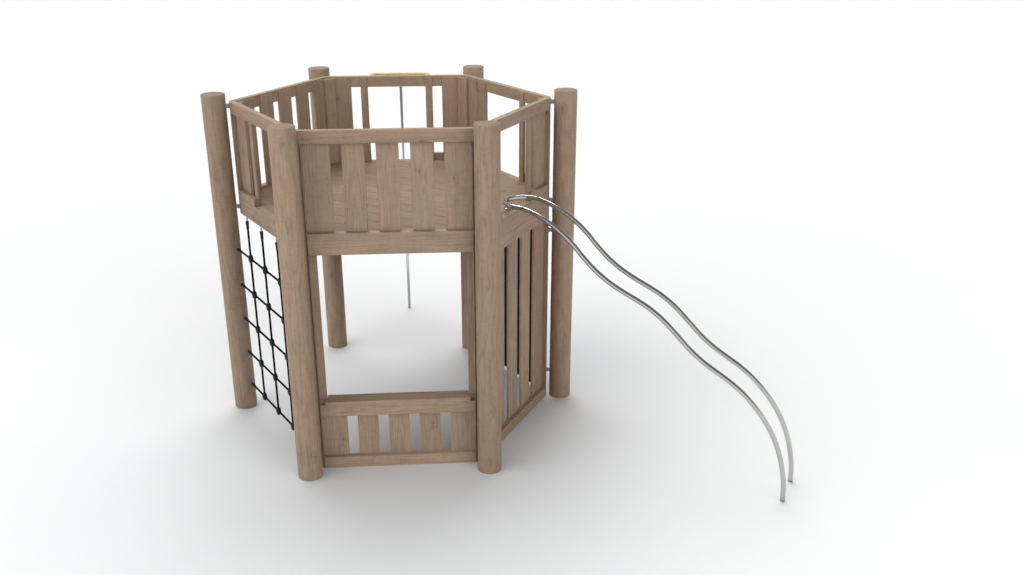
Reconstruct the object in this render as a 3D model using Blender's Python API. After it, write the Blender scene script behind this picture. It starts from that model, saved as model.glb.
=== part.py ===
"""Hexagonal timber play tower: a raised deck between six round posts, with slatted
parapets, a climbing net, a fire pole, a wall with a shelf and a pair of slide bars.

Metres, +Z up. Every side is modelled in the front pose, with its outer face towards -Y,
and is then turned about the tower's axis to its own place.
"""
import math

import bmesh
import bpy
from mathutils import Matrix, Vector

# Round posts
POST_D = 0.170
POST_ABOVE_RAIL = 0.052      # from the parapet's top rail to the top of a post
POST_TOP_CHAMFER = 0.008

# Hexagonal frame, its sides between the six corner posts
FRAME_CORNER_R = 1.170       # tower axis to the sharp corner of the outer faces
CORNER_ROUND_R = 0.070       # outer rounding of the corner posts and rails
CORNER_FACE_W = 0.0425       # outer face of a corner post, from the sharp corner
CORNER_LEG_W = 0.045         # how far its inner leg reaches behind the boards
CORNER_LEG_T = 0.017
SEAT_GAP = 0.0003            # between pieces that touch

# Heights
BEAM_BOTTOM = 1.616
BEAM_H = 0.128
SILL_H = 0.021               # extra height of a closed side's beam, above the deck
PARAPET_CLEAR_H = 0.618      # beam top to the underside of the top rail
RAIL_H = 0.086
RAIL_T = 0.045

# Upright boards, let into the inner face of the rails
BOARD_W = 0.145
BOARD_GAP = 0.074
BOARD_T = 0.020
BOARD_INSET = 0.033          # outer face of the rails to the outer face of the boards
BOARD_TOP_DROP = 0.012       # how far the boards stop short of a rail's top
BOARD_SINK = 0.010           # how far they are let into the beam below

# Sides with a way through the parapet
GATE_W = 0.470
BALUSTER_W = 0.0575
BALUSTER_GAP = 0.077
KICK_H = 0.056

# Deck
DECK_T = 0.028
PLANK_W = 0.145
PLANK_GAP = 0.005
PLANK_GAP_SINK = 0.001       # how far the gaps run down into the joists
JOIST_W = 0.045
JOIST_H = 0.095
JOIST_PITCH = 0.420
JOIST_COUNT = 5

# Walls under the deck
FOOT_RAIL_H = 0.0866
SHELF_RAIL_BOTTOM = 0.415
SHELF_T = 0.0265
SHELF_DEPTH = 0.115
SHELF_NOTCH_W = 0.012        # cut out of both front corners of the shelf
WALL_HEAD_H = 0.089
PANEL_T = 0.020
PANEL_INSET = 0.013
PANEL_BOTTOM = 0.030

# Steel distance tubes between the corner posts and the round posts
SPACER_D = 0.037
SPACER_L = 0.0258
SPACER_BELOW_RAIL_TOP = 0.034
SPACER_ABOVE_BEAM_FOOT = 0.048
SPACER_HEIGHTS_LOW = (1.424, 0.227)

# Climbing net
ROPE_D = 0.016
NET_STANDOFF = 0.050         # outer face of the frame to the middle of the ropes
NET_UPRIGHT_PITCH = 0.280
NET_TOP_ROW_DROP = 0.271     # from the beam's underside to the first row
NET_ROW_PITCH = 0.2825
NET_ROWS = 5
KNOT_D = 0.036
KNOT_H = 0.060
SLEEVE_D = 0.028
SLEEVE_L = 0.046
SLEEVE_INSERT = 0.009        # from the middle of a sleeve to the ends hidden in it
SLEEVE_TO_POST = 0.043       # middle of an end sleeve to the face of the round post
EYE_D = 0.010
NET_EYE_ABOVE_BEAM_FOOT = 0.039
TOP_SLEEVE_BELOW_EYE = 0.046

# Slide bars, joined by a bend that lies over the deck's edge
SLIDE_TUBE_D = 0.0337
SLIDE_HALF_GAUGE = 0.1335
SLIDE_BEND_OUT = 0.054       # where the bend starts, out from the frame
SLIDE_BEND_RISE = 0.064      # from the beam's top to the middle of the tube
# Middle line of one bar, distance out and height, drawn for a bend at this height
SLIDE_DRAWN_Z = 1.808
SLIDE_PROFILE = (
    (0.110, 1.803), (0.200, 1.776), (0.300, 1.731), (0.400, 1.669), (0.480, 1.603),
    (0.560, 1.521), (0.650, 1.440), (0.750, 1.372), (0.850, 1.321), (0.950, 1.278),
    (1.050, 1.230), (1.150, 1.163), (1.250, 1.075), (1.350, 0.982), (1.450, 0.909),
    (1.550, 0.853), (1.650, 0.796), (1.750, 0.722), (1.850, 0.620), (1.930, 0.510),
    (1.986, 0.400), (2.021, 0.300), (2.045, 0.200), (2.059, 0.100), (2.063, -0.040),
)
SLIDE_POINT_SPACING = 0.070
PEG_D = 0.024                # peg under the middle of the bend, on the deck
PEG_INSERT = 0.007           # how far it stops below the tube's middle line
PEG_PLATE_D = 0.050
PEG_PLATE_T = 0.005

# Fire pole and the hoop that holds its top
POLE_D = 0.027
POLE_OUT = 0.910
HOOP_D = 0.0337
HOOP_W = 0.500
HOOP_CORNER_R = 0.070
HOOP_BELOW_RAIL_TOP = 0.048
HOOP_FALL = 0.088            # from the rail to the top of the pole
HOOP_PLATE_D = 0.070
HOOP_PLATE_T = 0.006
POLE_SOCKET_D = 0.042
POLE_SOCKET_H = 0.050

# How finely round shapes are drawn
POST_SIDES = 48
ROUND_STEPS = 6
PIPE_SIDES = 16
ROPE_SIDES = 8
BEAD_SIDES = 8
TUBE_RESOLUTION = 4
BEAD_SPIN = 20
WELD = 0.00001

# Worked out from the sizes above
COS30 = math.cos(math.radians(30))
FRAME_APOTHEM = FRAME_CORNER_R * COS30
HALF_SIDE = FRAME_CORNER_R / 2
ROUND_CENTRE_R = (FRAME_APOTHEM - CORNER_ROUND_R) / COS30
FACE_EDGE = HALF_SIDE - CORNER_FACE_W        # where a corner post's outer face ends
LEG_EDGE = FACE_EDGE - CORNER_LEG_W
SIDE_EDGE = FACE_EDGE - SEAT_GAP             # end of what fits between two corner posts
BOARD_BACK = BOARD_INSET + BOARD_T
LEG_FRONT = BOARD_BACK + SEAT_GAP
LEG_BACK = LEG_FRONT + CORNER_LEG_T
BEAM_TOP = BEAM_BOTTOM + BEAM_H
RAIL_BOTTOM = BEAM_TOP + PARAPET_CLEAR_H
RAIL_TOP = RAIL_BOTTOM + RAIL_H
POST_H = RAIL_TOP + POST_ABOVE_RAIL
POST_CIRCLE_R = ROUND_CENTRE_R + CORNER_ROUND_R + SPACER_L + POST_D / 2
DECK_TOP = BEAM_TOP - SEAT_GAP
SHELF_RAIL_TOP = SHELF_RAIL_BOTTOM + RAIL_H
SLIDE_BEND_Z = BEAM_TOP + SLIDE_BEND_RISE
HOOP_RAIL_Z = RAIL_TOP - HOOP_BELOW_RAIL_TOP
HOOP_FAR_Z = HOOP_RAIL_Z - HOOP_FALL
NET_TOP_ROW = BEAM_BOTTOM - NET_TOP_ROW_DROP
NET_BOTTOM_ROW = NET_TOP_ROW - (NET_ROWS - 1) * NET_ROW_PITCH
NET_EYE_Z = BEAM_BOTTOM + NET_EYE_ABOVE_BEAM_FOOT

SIDE_TURNS = {
    "front": 0, "right_front": 60, "right_back": 120,
    "back": 180, "left_back": 240, "left_front": 300,
}
CLOSED_SIDES = ("front", "left_back")
CORNER_TURNS = {
    "right": 0, "back_right": 60, "back_left": 120,
    "left": 180, "front_left": 240, "front_right": 300,
}
SHORT_CORNERS = ("left", "back_left")        # these corner posts end at the deck's beam

MATERIALS = {
    "post_wood": ((0.30, 0.21, 0.14), 0.65, 0.0),
    "board_wood": ((0.31, 0.22, 0.15), 0.65, 0.0),
    "deck_wood": ((0.29, 0.20, 0.13), 0.70, 0.0),
    "grey_steel": ((0.42, 0.43, 0.44), 0.40, 1.0),
    "stainless": ((0.72, 0.72, 0.72), 0.20, 1.0),
    "black_rope": ((0.012, 0.013, 0.014), 0.80, 0.0),
    "black_panel": ((0.010, 0.010, 0.010), 0.45, 0.0),
    "yellow_paint": ((0.72, 0.52, 0.02), 0.40, 0.0),
}


def clear_scene():
    """Remove what the scene holds and make the two collections."""
    for item in list(bpy.data.objects):
        bpy.data.objects.remove(item, do_unlink=True)
    parts = bpy.data.collections.new("play_tower")
    cutters = bpy.data.collections.new("cutters")
    bpy.context.scene.collection.children.link(parts)
    bpy.context.scene.collection.children.link(cutters)
    cutters.hide_render = True
    return parts, cutters


def make_materials():
    """One Principled material for each finish."""
    made = {}
    for name, (colour, roughness, metallic) in MATERIALS.items():
        material = bpy.data.materials.new(name)
        material.use_nodes = True
        shader = material.node_tree.nodes["Principled BSDF"]
        shader.inputs["Base Color"].default_value = (*colour, 1.0)
        shader.inputs["Roughness"].default_value = roughness
        shader.inputs["Metallic"].default_value = metallic
        made[name] = material
    return made


PARTS, CUTTERS = clear_scene()
FINISHES = make_materials()


def work_object(name, mesh):
    """A piece still being shaped: it is kept with the cutters and never rendered."""
    item = bpy.data.objects.new(name, mesh)
    item.hide_render = True
    item.display_type = "WIRE"
    CUTTERS.objects.link(item)
    return item


def from_bmesh(name, shape):
    mesh = bpy.data.meshes.new(name)
    bmesh.ops.recalc_face_normals(shape, faces=shape.faces)
    shape.to_mesh(mesh)
    shape.free()
    return work_object(name, mesh)


def block(name, low, high):
    """A box between two opposite corners."""
    low, high = Vector(low), Vector(high)
    place = Matrix.Translation((low + high) / 2) @ Matrix.Diagonal((*(high - low), 1.0))
    shape = bmesh.new()
    bmesh.ops.create_cube(shape, size=1.0, matrix=place)
    return from_bmesh(name, shape)


def rod(name, start, end, diameter, sides=PIPE_SIDES):
    """A straight round bar from one point to another."""
    start, end = Vector(start), Vector(end)
    along = end - start
    turn = along.to_track_quat("Z", "Y").to_matrix().to_4x4()
    place = Matrix.Translation((start + end) / 2) @ turn
    shape = bmesh.new()
    bmesh.ops.create_cone(
        shape, cap_ends=True, segments=sides, radius1=diameter / 2,
        radius2=diameter / 2, depth=along.length, matrix=place)
    return from_bmesh(name, shape)


def bead(name, centre, sizes):
    """An ellipsoid, for a knot or the end of a sleeve, spun so that no facet lines up."""
    spin = Matrix.Rotation(math.radians(BEAD_SPIN), 4, (1.0, 1.0, 1.0))
    place = Matrix.Translation(centre) @ Matrix.Diagonal((*sizes, 1.0)) @ spin
    shape = bmesh.new()
    bmesh.ops.create_uvsphere(
        shape, u_segments=BEAD_SIDES, v_segments=BEAD_SIDES // 2 + 1, radius=0.5,
        matrix=place)
    return from_bmesh(name, shape)


def mesh_from(item):
    """The evaluated mesh of an object, which is removed; a curve's loose caps are welded."""
    view = bpy.context.evaluated_depsgraph_get()
    mesh = bpy.data.meshes.new_from_object(item.evaluated_get(view))
    shape = bmesh.new()
    shape.from_mesh(mesh)
    if item.type == "CURVE":
        bmesh.ops.remove_doubles(shape, verts=shape.verts, dist=WELD)
    shape.transform(item.matrix_world)
    bpy.data.meshes.remove(mesh)
    name = item.name
    bpy.data.objects.remove(item, do_unlink=True)
    return from_bmesh(name, shape)


def prism(name, outline, bottom, top):
    """A flat outline raised from one height to another."""
    curve = bpy.data.curves.new(name, "CURVE")
    curve.dimensions = "2D"
    curve.fill_mode = "BOTH"
    curve.extrude = (top - bottom) / 2
    spline = curve.splines.new("POLY")
    spline.points.add(len(outline) - 1)
    for point, (x, y) in zip(spline.points, outline):
        point.co = (x, y, 0.0, 1.0)
    spline.use_cyclic_u = True
    item = work_object(name, curve)
    item.location.z = (top + bottom) / 2
    bpy.context.view_layer.update()
    return mesh_from(item)


def tube(name, points, diameter):
    """A bent round tube along a line of points."""
    curve = bpy.data.curves.new(name, "CURVE")
    curve.dimensions = "3D"
    curve.bevel_depth = diameter / 2
    curve.bevel_resolution = TUBE_RESOLUTION
    curve.use_fill_caps = True
    spline = curve.splines.new("POLY")
    spline.points.add(len(points) - 1)
    for point, place in zip(spline.points, points):
        point.co = (*place, 1.0)
    item = work_object(name, curve)
    bpy.context.view_layer.update()
    return mesh_from(item)


def combine(name, pieces, operation):
    """Join pieces to the first one, or cut them from it, and remove them."""
    base = pieces[0]
    for piece in pieces[1:]:
        step = base.modifiers.new(piece.name, "BOOLEAN")
        step.operation = operation
        step.solver = "EXACT"
        step.object = piece
    bpy.context.view_layer.update()
    base.name = name
    made = mesh_from(base)
    for piece in pieces[1:]:
        bpy.data.objects.remove(piece, do_unlink=True)
    return made


def fuse(name, pieces):
    return combine(name, pieces, "UNION")


def cut(name, piece, cutters):
    return combine(name, [piece, *cutters], "DIFFERENCE")


def finish(item, name, material, turn=0.0, place=(0.0, 0.0, 0.0), smooth=False):
    """Hand a shaped piece over as a part, turned and placed about the tower's axis."""
    mesh = item.data
    mesh.name = name
    if not mesh.materials:
        mesh.materials.append(FINISHES[material])
    if smooth:
        mesh.shade_smooth()
        mesh.set_sharp_from_angle(angle=math.radians(35))
    part = bpy.data.objects.new(name, mesh)
    part.rotation_euler.z = math.radians(turn)
    part.location = place
    PARTS.objects.link(part)
    return part


def drop(item):
    bpy.data.objects.remove(item, do_unlink=True)


def side_block(name, left, right, inset, thickness, bottom, top):
    """A box in the front side: along it, in from its outer face, and in height."""
    front = inset - FRAME_APOTHEM
    return block(name, (left, front, bottom), (right, front + thickness, top))


def polar(radius, degrees):
    angle = math.radians(degrees)
    return radius * math.cos(angle), radius * math.sin(angle)


def turned(points, degrees):
    c, s = polar(1.0, degrees)
    return [(x * c - y * s, x * s + y * c) for x, y in points]


def round_corner(first, last, steps=ROUND_STEPS):
    """Points on the outer rounding at the corner that lies along +X."""
    points = []
    for step in range(steps + 1):
        x, y = polar(CORNER_ROUND_R, first + (last - first) * step / steps)
        points.append((ROUND_CENTRE_R + x, y))
    return points


def make_posts():
    """Six round posts with a small chamfer round the top."""
    body = rod("post", (0, 0, 0), (0, 0, POST_H), POST_D, POST_SIDES)
    radius = POST_D / 2
    shape = bmesh.new()
    shape.from_mesh(body.data)
    rim = [edge for edge in shape.edges
           if all(abs(v.co.z - POST_H) < SEAT_GAP for v in edge.verts)]
    bmesh.ops.bevel(shape, geom=rim, offset=min(POST_TOP_CHAMFER, radius / 2),
                    segments=1, affect="EDGES")
    shape.to_mesh(body.data)
    shape.free()
    for corner, turn in CORNER_TURNS.items():
        place = (*polar(POST_CIRCLE_R, turn), 0.0)
        finish(body, f"post_{corner}", "post_wood", turn, place, smooth=True)
    drop(body)


def corner_section():
    """Half of a corner post: the flat face, the rebate for the boards, the inner leg."""
    half = []
    for along, inset in (
            (LEG_EDGE, LEG_BACK), (LEG_EDGE, LEG_FRONT),
            (FACE_EDGE, LEG_FRONT), (FACE_EDGE, 0.0)):
        half += turned([(FRAME_APOTHEM - inset, along)], -30)
    mirrored = [(x, -y) for x, y in reversed(half)]
    return half + round_corner(-30, 30) + mirrored


def rail_seat():
    """What the ends of the top rails take out of the head of a corner post."""
    back = RAIL_T + SEAT_GAP
    clear = FRAME_APOTHEM + RAIL_T
    right = [((FRAME_APOTHEM - back) / COS30, 0.0)]
    right += turned([(FRAME_APOTHEM - back, LEG_EDGE / 2), (clear, LEG_EDGE / 2)], -30)
    right.append((clear / COS30, 0.0))
    left = [(x, -y) for x, y in reversed(right[1:-1])]
    return right + left


def make_corner_posts():
    """Corner posts whose inner leg rises behind the top rails to the boards' tops."""
    head = RAIL_TOP - BOARD_TOP_DROP
    tall = prism("tall", corner_section(), 0.0, head)
    short = prism("short", corner_section(), BEAM_BOTTOM, head)
    seats = [prism("seat", rail_seat(), RAIL_BOTTOM - SEAT_GAP, POST_H) for _ in range(2)]
    tall = cut("tall_corner", tall, seats[:1])
    short = cut("short_corner", short, seats[1:])
    for corner, turn in CORNER_TURNS.items():
        body = short if corner in SHORT_CORNERS else tall
        finish(body, f"corner_post_{corner}", "post_wood", turn)
    drop(tall)
    drop(short)


def make_spacers():
    """Steel tubes whose ends follow the corner post's rounding and the round post."""
    blank = rod("blank", (ROUND_CENTRE_R, 0, 0), (POST_CIRCLE_R, 0, 0), SPACER_D)
    low, high = -SPACER_D, SPACER_D
    post = rod("post_cutter", (POST_CIRCLE_R, 0, low), (POST_CIRCLE_R, 0, high),
               POST_D + 2 * SEAT_GAP, POST_SIDES)
    corner = rod("corner_cutter", (ROUND_CENTRE_R, 0, low), (ROUND_CENTRE_R, 0, high),
                 2 * (CORNER_ROUND_R + SEAT_GAP), POST_SIDES)
    body = cut("spacer", blank, [post, corner])
    for corner, turn in CORNER_TURNS.items():
        heights = [RAIL_TOP - SPACER_BELOW_RAIL_TOP, BEAM_BOTTOM + SPACER_ABOVE_BEAM_FOOT]
        if corner not in SHORT_CORNERS:
            heights += SPACER_HEIGHTS_LOW
        for number, height in enumerate(heights, start=1):
            name = f"spacer_{corner}_{number}"
            finish(body, name, "grey_steel", turn, (0.0, 0.0, height), smooth=True)
    drop(body)


def rail_outline():
    """Top rail of the front side, mitred at both ends, with rounded outer corners."""
    short = math.degrees(math.asin(SEAT_GAP / 2 / CORNER_ROUND_R))
    outer = turned(round_corner(-30, -short), -60)
    inner = ((FRAME_APOTHEM - RAIL_T) / 2 - SEAT_GAP / 2) / COS30
    right = outer + [(inner, RAIL_T - FRAME_APOTHEM)]
    return right + [(-x, y) for x, y in reversed(right)]


def board_spans():
    """Left and right edges of the five boards of a closed side."""
    pitch = BOARD_W + BOARD_GAP
    half = BOARD_W / 2
    spans = [(middle - half, middle + half) for middle in (-pitch, 0.0, pitch)]
    end = pitch + half + BOARD_GAP
    return [(-SIDE_EDGE, -end), *spans, (end, SIDE_EDGE)]


def gate_spans():
    """Balusters and end boards beside the way through an open side."""
    half = GATE_W / 2
    end = half + BALUSTER_W + BALUSTER_GAP
    right = [(half, half + BALUSTER_W), (end, SIDE_EDGE)]
    return right + [(-last, -first) for first, last in right]


def make_parapets():
    """The six sides above the deck: beam, boards and top rail, screwed into one unit."""
    board_top = RAIL_TOP - BOARD_TOP_DROP
    for side, turn in SIDE_TURNS.items():
        closed = side in CLOSED_SIDES
        beam_top = BEAM_TOP + SILL_H if closed else BEAM_TOP
        board_bottom = beam_top - BOARD_SINK
        rail = prism("rail", rail_outline(), RAIL_BOTTOM, RAIL_TOP)
        beam = side_block("beam", -SIDE_EDGE, SIDE_EDGE, 0.0, BOARD_BACK,
                          BEAM_BOTTOM, beam_top)
        spans = board_spans() if closed else gate_spans()
        pieces = [rail]
        for left, right in spans:
            pieces.append(side_block("board", left, right, BOARD_INSET, BOARD_T,
                                     board_bottom, board_top))
        if not closed:
            half = GATE_W / 2
            for left, right in ((-SIDE_EDGE, -half), (half, SIDE_EDGE)):
                pieces.append(side_block("kick", left, right, 0.0, RAIL_T,
                                         board_bottom, BEAM_TOP + KICK_H))
        body = fuse("parapet", pieces + [beam])
        name = f"parapet_{side}" if closed else f"gate_side_{side}"
        finish(body, name, "board_wood", turn)
        drop(body)


def make_deck():
    """Planks across the tower on joists that end on the beams and corner posts."""
    edge = LEG_EDGE - SEAT_GAP
    outline = []
    for turn in SIDE_TURNS.values():
        side = []
        for along, inset in ((-edge, LEG_BACK), (-edge, BOARD_BACK),
                             (edge, BOARD_BACK), (edge, LEG_BACK)):
            side.append((along, inset + SEAT_GAP - FRAME_APOTHEM))
        outline += turned(side, turn)
    joist_top = DECK_TOP - DECK_T
    joist_bottom = joist_top - JOIST_H
    body = prism("deck", outline, joist_bottom, DECK_TOP)
    reach = FRAME_CORNER_R
    cutters = []
    for number in range(JOIST_COUNT + 1):
        middle = (number - JOIST_COUNT / 2) * JOIST_PITCH
        half = (JOIST_PITCH - JOIST_W) / 2
        left = -reach if number == 0 else middle - half
        right = reach if number == JOIST_COUNT else middle + half
        cutters.append(block("bay", (left, -reach, joist_bottom - DECK_T),
                             (right, reach, joist_top)))
    pitch = PLANK_W + PLANK_GAP
    gaps = int(FRAME_APOTHEM / pitch + 0.5)
    for number in range(-gaps, gaps):
        middle = (number + 0.5) * pitch
        low = (-reach, middle - PLANK_GAP / 2, joist_top - PLANK_GAP_SINK)
        cutters.append(block("gap", low, (reach, middle + PLANK_GAP / 2, DECK_TOP + DECK_T)))
    body = cut("deck_body", body, cutters)
    finish(body, "deck", "deck_wood")
    drop(body)


def make_low_parapet():
    """Slatted wall under the front window, with the shelf board on it."""
    pieces = [side_block("foot_rail", -SIDE_EDGE, SIDE_EDGE, 0.0, RAIL_T, 0.0, FOOT_RAIL_H)]
    pieces.append(side_block("head_rail", -SIDE_EDGE, SIDE_EDGE, 0.0, RAIL_T,
                             SHELF_RAIL_BOTTOM, SHELF_RAIL_TOP))
    for left, right in board_spans():
        pieces.append(side_block("board", left, right, BOARD_INSET, BOARD_T,
                                 BOARD_TOP_DROP, SHELF_RAIL_TOP - BOARD_TOP_DROP))
    body = fuse("low_parapet", pieces)
    finish(body, "low_parapet_front", "board_wood")
    drop(body)
    edge = LEG_EDGE - SEAT_GAP
    right = []
    for x, inset in ((SIDE_EDGE - SHELF_NOTCH_W, 0.0), (SIDE_EDGE - SHELF_NOTCH_W, BOARD_INSET),
                     (SIDE_EDGE, BOARD_INSET), (SIDE_EDGE, BOARD_BACK),
                     (edge, BOARD_BACK), (edge, SHELF_DEPTH)):
        right.append((x, inset - FRAME_APOTHEM))
    outline = right + [(-x, y) for x, y in reversed(right)]
    bottom = SHELF_RAIL_TOP + SEAT_GAP
    body = prism("shelf", outline, bottom, bottom + SHELF_T)
    finish(body, "shelf_front", "board_wood")
    drop(body)


def make_low_wall():
    """Full-height slatted wall under the deck, behind the slide bars."""
    top = BEAM_BOTTOM - SEAT_GAP
    pieces = [side_block("foot_rail", -SIDE_EDGE, SIDE_EDGE, 0.0, RAIL_T, 0.0, FOOT_RAIL_H)]
    pieces.append(side_block("head_rail", -SIDE_EDGE, SIDE_EDGE, 0.0, RAIL_T,
                             top - WALL_HEAD_H, top))
    for left, right in board_spans():
        pieces.append(side_block("board", left, right, BOARD_INSET, BOARD_T,
                                 BOARD_TOP_DROP, top - BOARD_TOP_DROP))
    body = fuse("low_wall", pieces)
    finish(body, "low_wall_right_front", "board_wood", SIDE_TURNS["right_front"])
    drop(body)


def make_panel():
    """Black sheet that closes the right back side under the deck."""
    body = side_block("panel", -SIDE_EDGE, SIDE_EDGE, PANEL_INSET, PANEL_T,
                      PANEL_BOTTOM, BEAM_BOTTOM - SEAT_GAP)
    finish(body, "panel_right_back", "black_panel", SIDE_TURNS["right_back"])
    drop(body)


def net_rows(rows, plane, post_x, sleeve_x):
    """Ropes across the net, each with a sleeve and an eye bolt at both round posts."""
    pieces = []
    end = sleeve_x - SLEEVE_INSERT
    for z in rows:
        pieces.append(rod("row", (-end, plane, z), (end, plane, z), ROPE_D, ROPE_SIDES))
        for way in (-1, 1):
            pieces.append(bead("sleeve", (way * sleeve_x, plane, z),
                               (SLEEVE_L, SLEEVE_D, SLEEVE_D)))
            pieces.append(rod("shank", (way * (sleeve_x + SLEEVE_INSERT), plane, z),
                              (way * post_x, plane, z), EYE_D, ROPE_SIDES))
    return pieces


def net_uprights(rows, plane, columns):
    """Ropes down the net, hung on hooks from the beam, with a knot at every crossing."""
    pieces = []
    sleeve_z = NET_EYE_Z - TOP_SLEEVE_BELOW_EYE
    for x in columns:
        pieces.append(rod("upright", (x, plane, rows[-1] - SLEEVE_INSERT),
                          (x, plane, sleeve_z - SLEEVE_INSERT), ROPE_D, ROPE_SIDES + 2))
        pieces.append(bead("top_sleeve", (x, plane, sleeve_z),
                           (SLEEVE_D, SLEEVE_D, SLEEVE_L)))
        pieces.append(rod("hook", (x, plane, sleeve_z + SLEEVE_INSERT),
                          (x, plane, NET_EYE_Z + EYE_D), EYE_D, ROPE_SIDES))
        pieces.append(rod("eye", (x, plane - EYE_D, NET_EYE_Z),
                          (x, -FRAME_APOTHEM - SEAT_GAP, NET_EYE_Z), EYE_D, ROPE_SIDES + 2))
        for z in rows:
            pieces.append(bead("knot", (x, plane, z), (KNOT_D, KNOT_D, KNOT_H)))
    return pieces


def make_net():
    """Rope net on the left front side, its rows fixed to the two round posts."""
    plane = -(FRAME_APOTHEM + NET_STANDOFF)
    post_x, post_y = polar(POST_CIRCLE_R, -60)
    post_face = post_x - math.sqrt((POST_D / 2) ** 2 - (plane - post_y) ** 2)
    rows = [NET_TOP_ROW - number * NET_ROW_PITCH for number in range(NET_ROWS)]
    columns = (-NET_UPRIGHT_PITCH, 0.0, NET_UPRIGHT_PITCH)
    pieces = net_rows(rows, plane, post_x, post_face - SLEEVE_TO_POST)
    pieces += net_uprights(rows, plane, columns)
    body = fuse("net", pieces)
    low, high = NET_BOTTOM_ROW - KNOT_H, NET_EYE_Z + KNOT_H
    posts = [rod("post_cutter", (x, post_y, low), (x, post_y, high),
                 POST_D + 2 * SEAT_GAP, POST_SIDES) for x in (-post_x, post_x)]
    body = cut("net", body, posts)
    finish(body, "climbing_net", "black_rope", SIDE_TURNS["left_front"], smooth=True)
    drop(body)


def smooth_line(points, spacing):
    """Points evenly spread on a smooth curve through the given ones."""
    points = [Vector(point) for point in points]
    ends = [2 * points[0] - points[1], *points, 2 * points[-1] - points[-2]]
    line = [points[0]]
    for before, start, end, after in zip(ends, ends[1:], ends[2:], ends[3:]):
        steps = max(1, round((end - start).length / spacing))
        for step in range(1, steps + 1):
            t = step / steps
            line.append(0.5 * (
                2 * start + (end - before) * t
                + (2 * before - 5 * start + 4 * end - after) * t ** 2
                + (3 * start - before - 3 * end + after) * t ** 3))
    return line


def slide_line():
    """Middle line of the tube: up one bar, round the bend, and down the other."""
    bend_y = -(FRAME_APOTHEM + SLIDE_BEND_OUT)
    rise = SLIDE_BEND_Z / SLIDE_DRAWN_Z
    run = [(SLIDE_HALF_GAUGE, -(FRAME_APOTHEM + out), z * rise)
           for out, z in reversed(SLIDE_PROFILE)]
    start = [(SLIDE_HALF_GAUGE, bend_y, SLIDE_BEND_Z)]
    right = smooth_line(run + start, SLIDE_POINT_SPACING)
    bend = []
    for step in range(1, 2 * ROUND_STEPS):
        x, y = polar(SLIDE_HALF_GAUGE, 180 * step / (2 * ROUND_STEPS))
        bend.append(Vector((x, bend_y + y, SLIDE_BEND_Z)))
    left = [Vector((-p.x, p.y, p.z)) for p in reversed(right)]
    return right + bend + left


def make_slide_bars():
    """Two parallel bent bars joined by a bend over the deck's edge, on one peg."""
    bars = tube("bars", slide_line(), SLIDE_TUBE_D)
    reach = POST_CIRCLE_R + SLIDE_PROFILE[-1][0]
    ground = block("ground", (-reach, -reach, -SLIDE_HALF_GAUGE), (reach, reach, 0.0))
    bars = cut("bars_on_ground", bars, [ground])
    peg_y = SLIDE_HALF_GAUGE - FRAME_APOTHEM - SLIDE_BEND_OUT
    foot = DECK_TOP + SEAT_GAP
    peg = rod("peg", (0.0, peg_y, foot + PEG_PLATE_T / 2),
              (0.0, peg_y, SLIDE_BEND_Z - PEG_INSERT), PEG_D)
    plate = rod("plate", (0.0, peg_y, foot), (0.0, peg_y, foot + PEG_PLATE_T), PEG_PLATE_D)
    body = fuse("bars_and_peg", [bars, peg, plate])
    finish(body, "slide_bars", "stainless", SIDE_TURNS["right_front"], smooth=True)
    drop(body)


def hoop_line():
    """Half of the hoop's middle line: out from the rail, round a corner, to the middle."""
    fall = (HOOP_FAR_Z - HOOP_RAIL_Z) / POLE_OUT
    half = HOOP_W / 2
    turn_x = half - HOOP_CORNER_R
    turn_out = POLE_OUT - HOOP_CORNER_R
    flat = [(half, HOOP_PLATE_T), (half, turn_out / 2)]
    for step in range(ROUND_STEPS + 1):
        x, out = polar(HOOP_CORNER_R, 90 * step / ROUND_STEPS)
        flat.append((turn_x + x, turn_out + out))
    flat.append((0.0, POLE_OUT))
    return [(x, -(FRAME_APOTHEM + out), HOOP_RAIL_Z + fall * out) for x, out in flat]


def make_fire_pole():
    """Steel pole from the ground, held at its top by a hoop on the back rail."""
    right = hoop_line()
    line = right + [(-x, y, z) for x, y, z in reversed(right[:-1])]
    hoop = tube("hoop", line, HOOP_D)
    wall = -FRAME_APOTHEM - SEAT_GAP
    far = -(FRAME_APOTHEM + POLE_OUT)
    socket_bottom = HOOP_FAR_Z - HOOP_D / 2 - POLE_SOCKET_H
    pieces = [hoop]
    for x in (-HOOP_W / 2, HOOP_W / 2):
        pieces.append(rod("flange", (x, wall, HOOP_RAIL_Z),
                          (x, wall - HOOP_PLATE_T, HOOP_RAIL_Z), HOOP_PLATE_D))
    pieces.append(rod("socket", (0, far, HOOP_FAR_Z), (0, far, socket_bottom),
                      POLE_SOCKET_D))
    body = fuse("hoop", pieces)
    finish(body, "pole_hoop", "yellow_paint", SIDE_TURNS["back"], smooth=True)
    drop(body)
    body = rod("pole", (0, far, 0), (0, far, socket_bottom - SEAT_GAP), POLE_D)
    finish(body, "fire_pole", "grey_steel", SIDE_TURNS["back"], smooth=True)
    drop(body)


def stand_on_origin():
    """Move the tower so that the middle of its footprint box is the origin."""
    bpy.context.view_layer.update()
    points = [part.matrix_world @ vertex.co
              for part in PARTS.objects for vertex in part.data.vertices]
    low = [min(point[axis] for point in points) for axis in range(3)]
    high = [max(point[axis] for point in points) for axis in range(3)]
    base = bpy.data.objects.new("tower_axis", None)
    bpy.context.scene.collection.objects.link(base)
    for part in PARTS.objects:
        part.parent = base
    base.location = (-(low[0] + high[0]) / 2, -(low[1] + high[1]) / 2, -low[2])


make_posts()
make_corner_posts()
make_spacers()
make_parapets()
make_deck()
make_low_parapet()
make_low_wall()
make_panel()
make_net()
make_slide_bars()
make_fire_pole()
stand_on_origin()
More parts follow.
